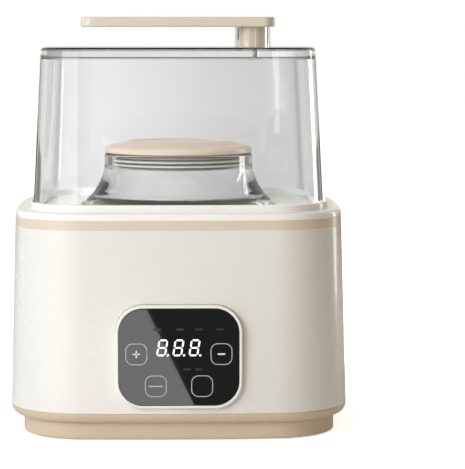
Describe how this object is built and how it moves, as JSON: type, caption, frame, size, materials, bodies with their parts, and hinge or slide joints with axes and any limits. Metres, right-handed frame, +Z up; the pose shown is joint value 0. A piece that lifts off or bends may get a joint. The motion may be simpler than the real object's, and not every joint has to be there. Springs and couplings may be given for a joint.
{
  "type": "yogurt maker",
  "caption": "Countertop yogurt maker: a cream warming base with a beige trim band and touch panel, a lidded glass jar in its well, and a clear cover with a bar handle.",
  "frame": {"origin": "middle of the bounding box's bottom face, on the surface the feet stand on", "axes": "+X to the right seen from the touch panel, +Y to the back, +Z up"},
  "size_m": [0.204, 0.176, 0.2483],
  "materials": {
    "white_shell": "smooth satin-gloss moulded plastic",
    "beige_trim": "satin moulded plastic",
    "cream_rim": "smooth satin-gloss moulded plastic",
    "beige_base": "satin moulded plastic",
    "foot_rubber": "matt black rubber",
    "steel": "zinc-plated steel",
    "well_metal": "drawn aluminium, light satin",
    "silicone": "translucent white silicone",
    "plate_metal": "die-cast aluminium",
    "heater_block": "fired ceramic",
    "sensor_metal": "turned aluminium",
    "fuse_case": "pale moulded case",
    "foil": "laminated foil",
    "lead_red": "silicone-insulated wire",
    "bezel": "satin moulded plastic",
    "panel_glass": "black back-printed glass",
    "display_black": "moulded display case",
    "pcb": "solder-masked board",
    "buzzer_black": "moulded case",
    "ribbon_grey": "flat cable",
    "transformer_yellow": "taped winding",
    "relay_blue": "moulded case",
    "capacitor_black": "sleeved can",
    "inlet_black": "textured moulded socket",
    "pin_brass": "plated brass",
    "jar_glass": "clear pressed glass",
    "beige_lid": "satin moulded plastic",
    "gasket_silicone": "translucent silicone",
    "clear_plastic": "clear polished plastic",
    "beige_handle": "satin moulded plastic"
  },
  "bodies": {
    "base": {"outer_housing": "white_shell", "trim_band": "beige_trim", "upper_rim": "cream_rim", "bottom_cover": "beige_base", "rubber_feet": "foot_rubber", "base_screws": "steel", "heating_well": "well_metal", "well_seal": "silicone", "well_screws": "steel", "heater_plate": "plate_metal", "ptc_heater": "heater_block", "temperature_sensor": "sensor_metal", "thermal_fuse": "fuse_case", "heater_foil": "foil", "heater_leads": "lead_red", "panel_bezel": "bezel", "touch_glass": "panel_glass", "display_module": "display_black", "touch_springs": "steel", "control_board": "pcb", "board_screws": "steel", "buzzer": "buzzer_black", "ribbon_cable": "ribbon_grey", "power_board": "pcb", "transformer": "transformer_yellow", "relay": "relay_blue", "capacitors": "capacitor_black", "power_inlet": "inlet_black", "inlet_pins": "pin_brass", "inlet_leads": "lead_red"},
    "jar": {"glass_jar": "jar_glass"},
    "lid": {"jar_lid": "beige_lid", "lid_gasket": "gasket_silicone"},
    "cover": {"clear_cover": "clear_plastic", "handle_bar": "beige_handle", "handle_screw": "steel"}
  },
  "joints": [
    {"name": "jar_lift", "type": "slide", "parent": "base", "child": "jar", "axis": [0, 0, 1], "range_m": [0, 0.15]},
    {"name": "lid_lift", "type": "slide", "parent": "jar", "child": "lid", "axis": [0, 0, 1], "range_m": [0, 0.04]},
    {"name": "cover_lift", "type": "slide", "parent": "jar", "child": "cover", "axis": [0, 0, 1], "range_m": [0, 0.12]}
  ]
}
